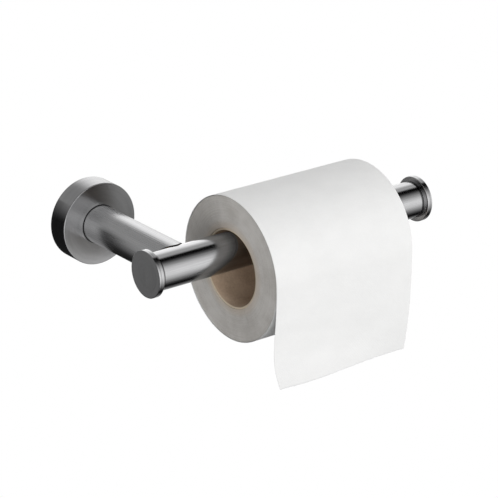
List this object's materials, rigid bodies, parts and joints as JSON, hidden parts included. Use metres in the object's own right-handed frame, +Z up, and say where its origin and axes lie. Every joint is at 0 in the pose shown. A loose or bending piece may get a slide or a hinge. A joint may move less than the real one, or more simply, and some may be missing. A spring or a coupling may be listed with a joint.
{
  "type": "toilet paper holder",
  "caption": "Wall-mounted toilet paper holder: a round cover flange and a post carry a horizontal bar with end caps, on which a paper roll hangs, turns and slides.",
  "frame": {"origin": "centre of the wall bracket's back, on the plane of the wall and on the post's axis", "axes": "+X along the bar towards its free end, +Y into the wall, +Z up; the bar stands out from the wall along -Y"},
  "size_m": [0.2014, 0.1376, 0.107],
  "materials": {
    "brushed_finish": "stainless steel with a dark gunmetal coating, brushed: around the flange, along the tubes",
    "bracket_metal": "plain turned steel",
    "turned_brass": "plain turned brass",
    "fastener_steel": "bright stainless fastener",
    "seal_rubber": "black O-ring rubber",
    "core_card": "spirally wound grey-brown cardboard",
    "tissue": "soft white tissue, finely embossed"
  },
  "bodies": {
    "holder": {"wall_bracket": "bracket_metal", "bracket_seal": "seal_rubber", "bracket_screw": "fastener_steel", "locating_pin": "fastener_steel", "post": "brushed_finish", "post_foot": "turned_brass", "post_neck": "turned_brass", "tie_bolt": "fastener_steel", "lock_washer": "fastener_steel", "flat_washer": "fastener_steel", "saddle_nut": "turned_brass", "bar": "brushed_finish", "cap_left": "brushed_finish", "cap_right": "brushed_finish", "cap_seal_left": "seal_rubber", "cap_seal_right": "seal_rubber"},
    "rose": {"flange": "brushed_finish"},
    "ply": {"outer_ply": "tissue"},
    "roll": {"core": "core_card", "paper_roll": "tissue"},
    "sheet": {"hanging_sheet": "tissue"}
  },
  "joints": [
    {"name": "rose_slide", "type": "slide", "parent": "holder", "child": "rose", "axis": [0, -1, 0], "range_m": [0, 0.03]},
    {"name": "roll_shift", "type": "slide", "parent": "holder", "child": "ply", "axis": [1, 0, 0], "range_m": [-0.023, 0.036]},
    {"name": "roll_spin", "type": "hinge", "parent": "ply", "child": "roll", "pos_m": [0.0851, -0.094, -0.01125], "axis": [1, 0, 0], "continuous": true},
    {"name": "sheet_pull", "type": "slide", "parent": "ply", "child": "sheet", "axis": [0, 0, -1], "range_m": [0, 0.11]}
  ],
  "couplings": [
    {"joint": "roll_spin", "follows": "sheet_pull", "rad_per_m": 22.99}
  ]
}
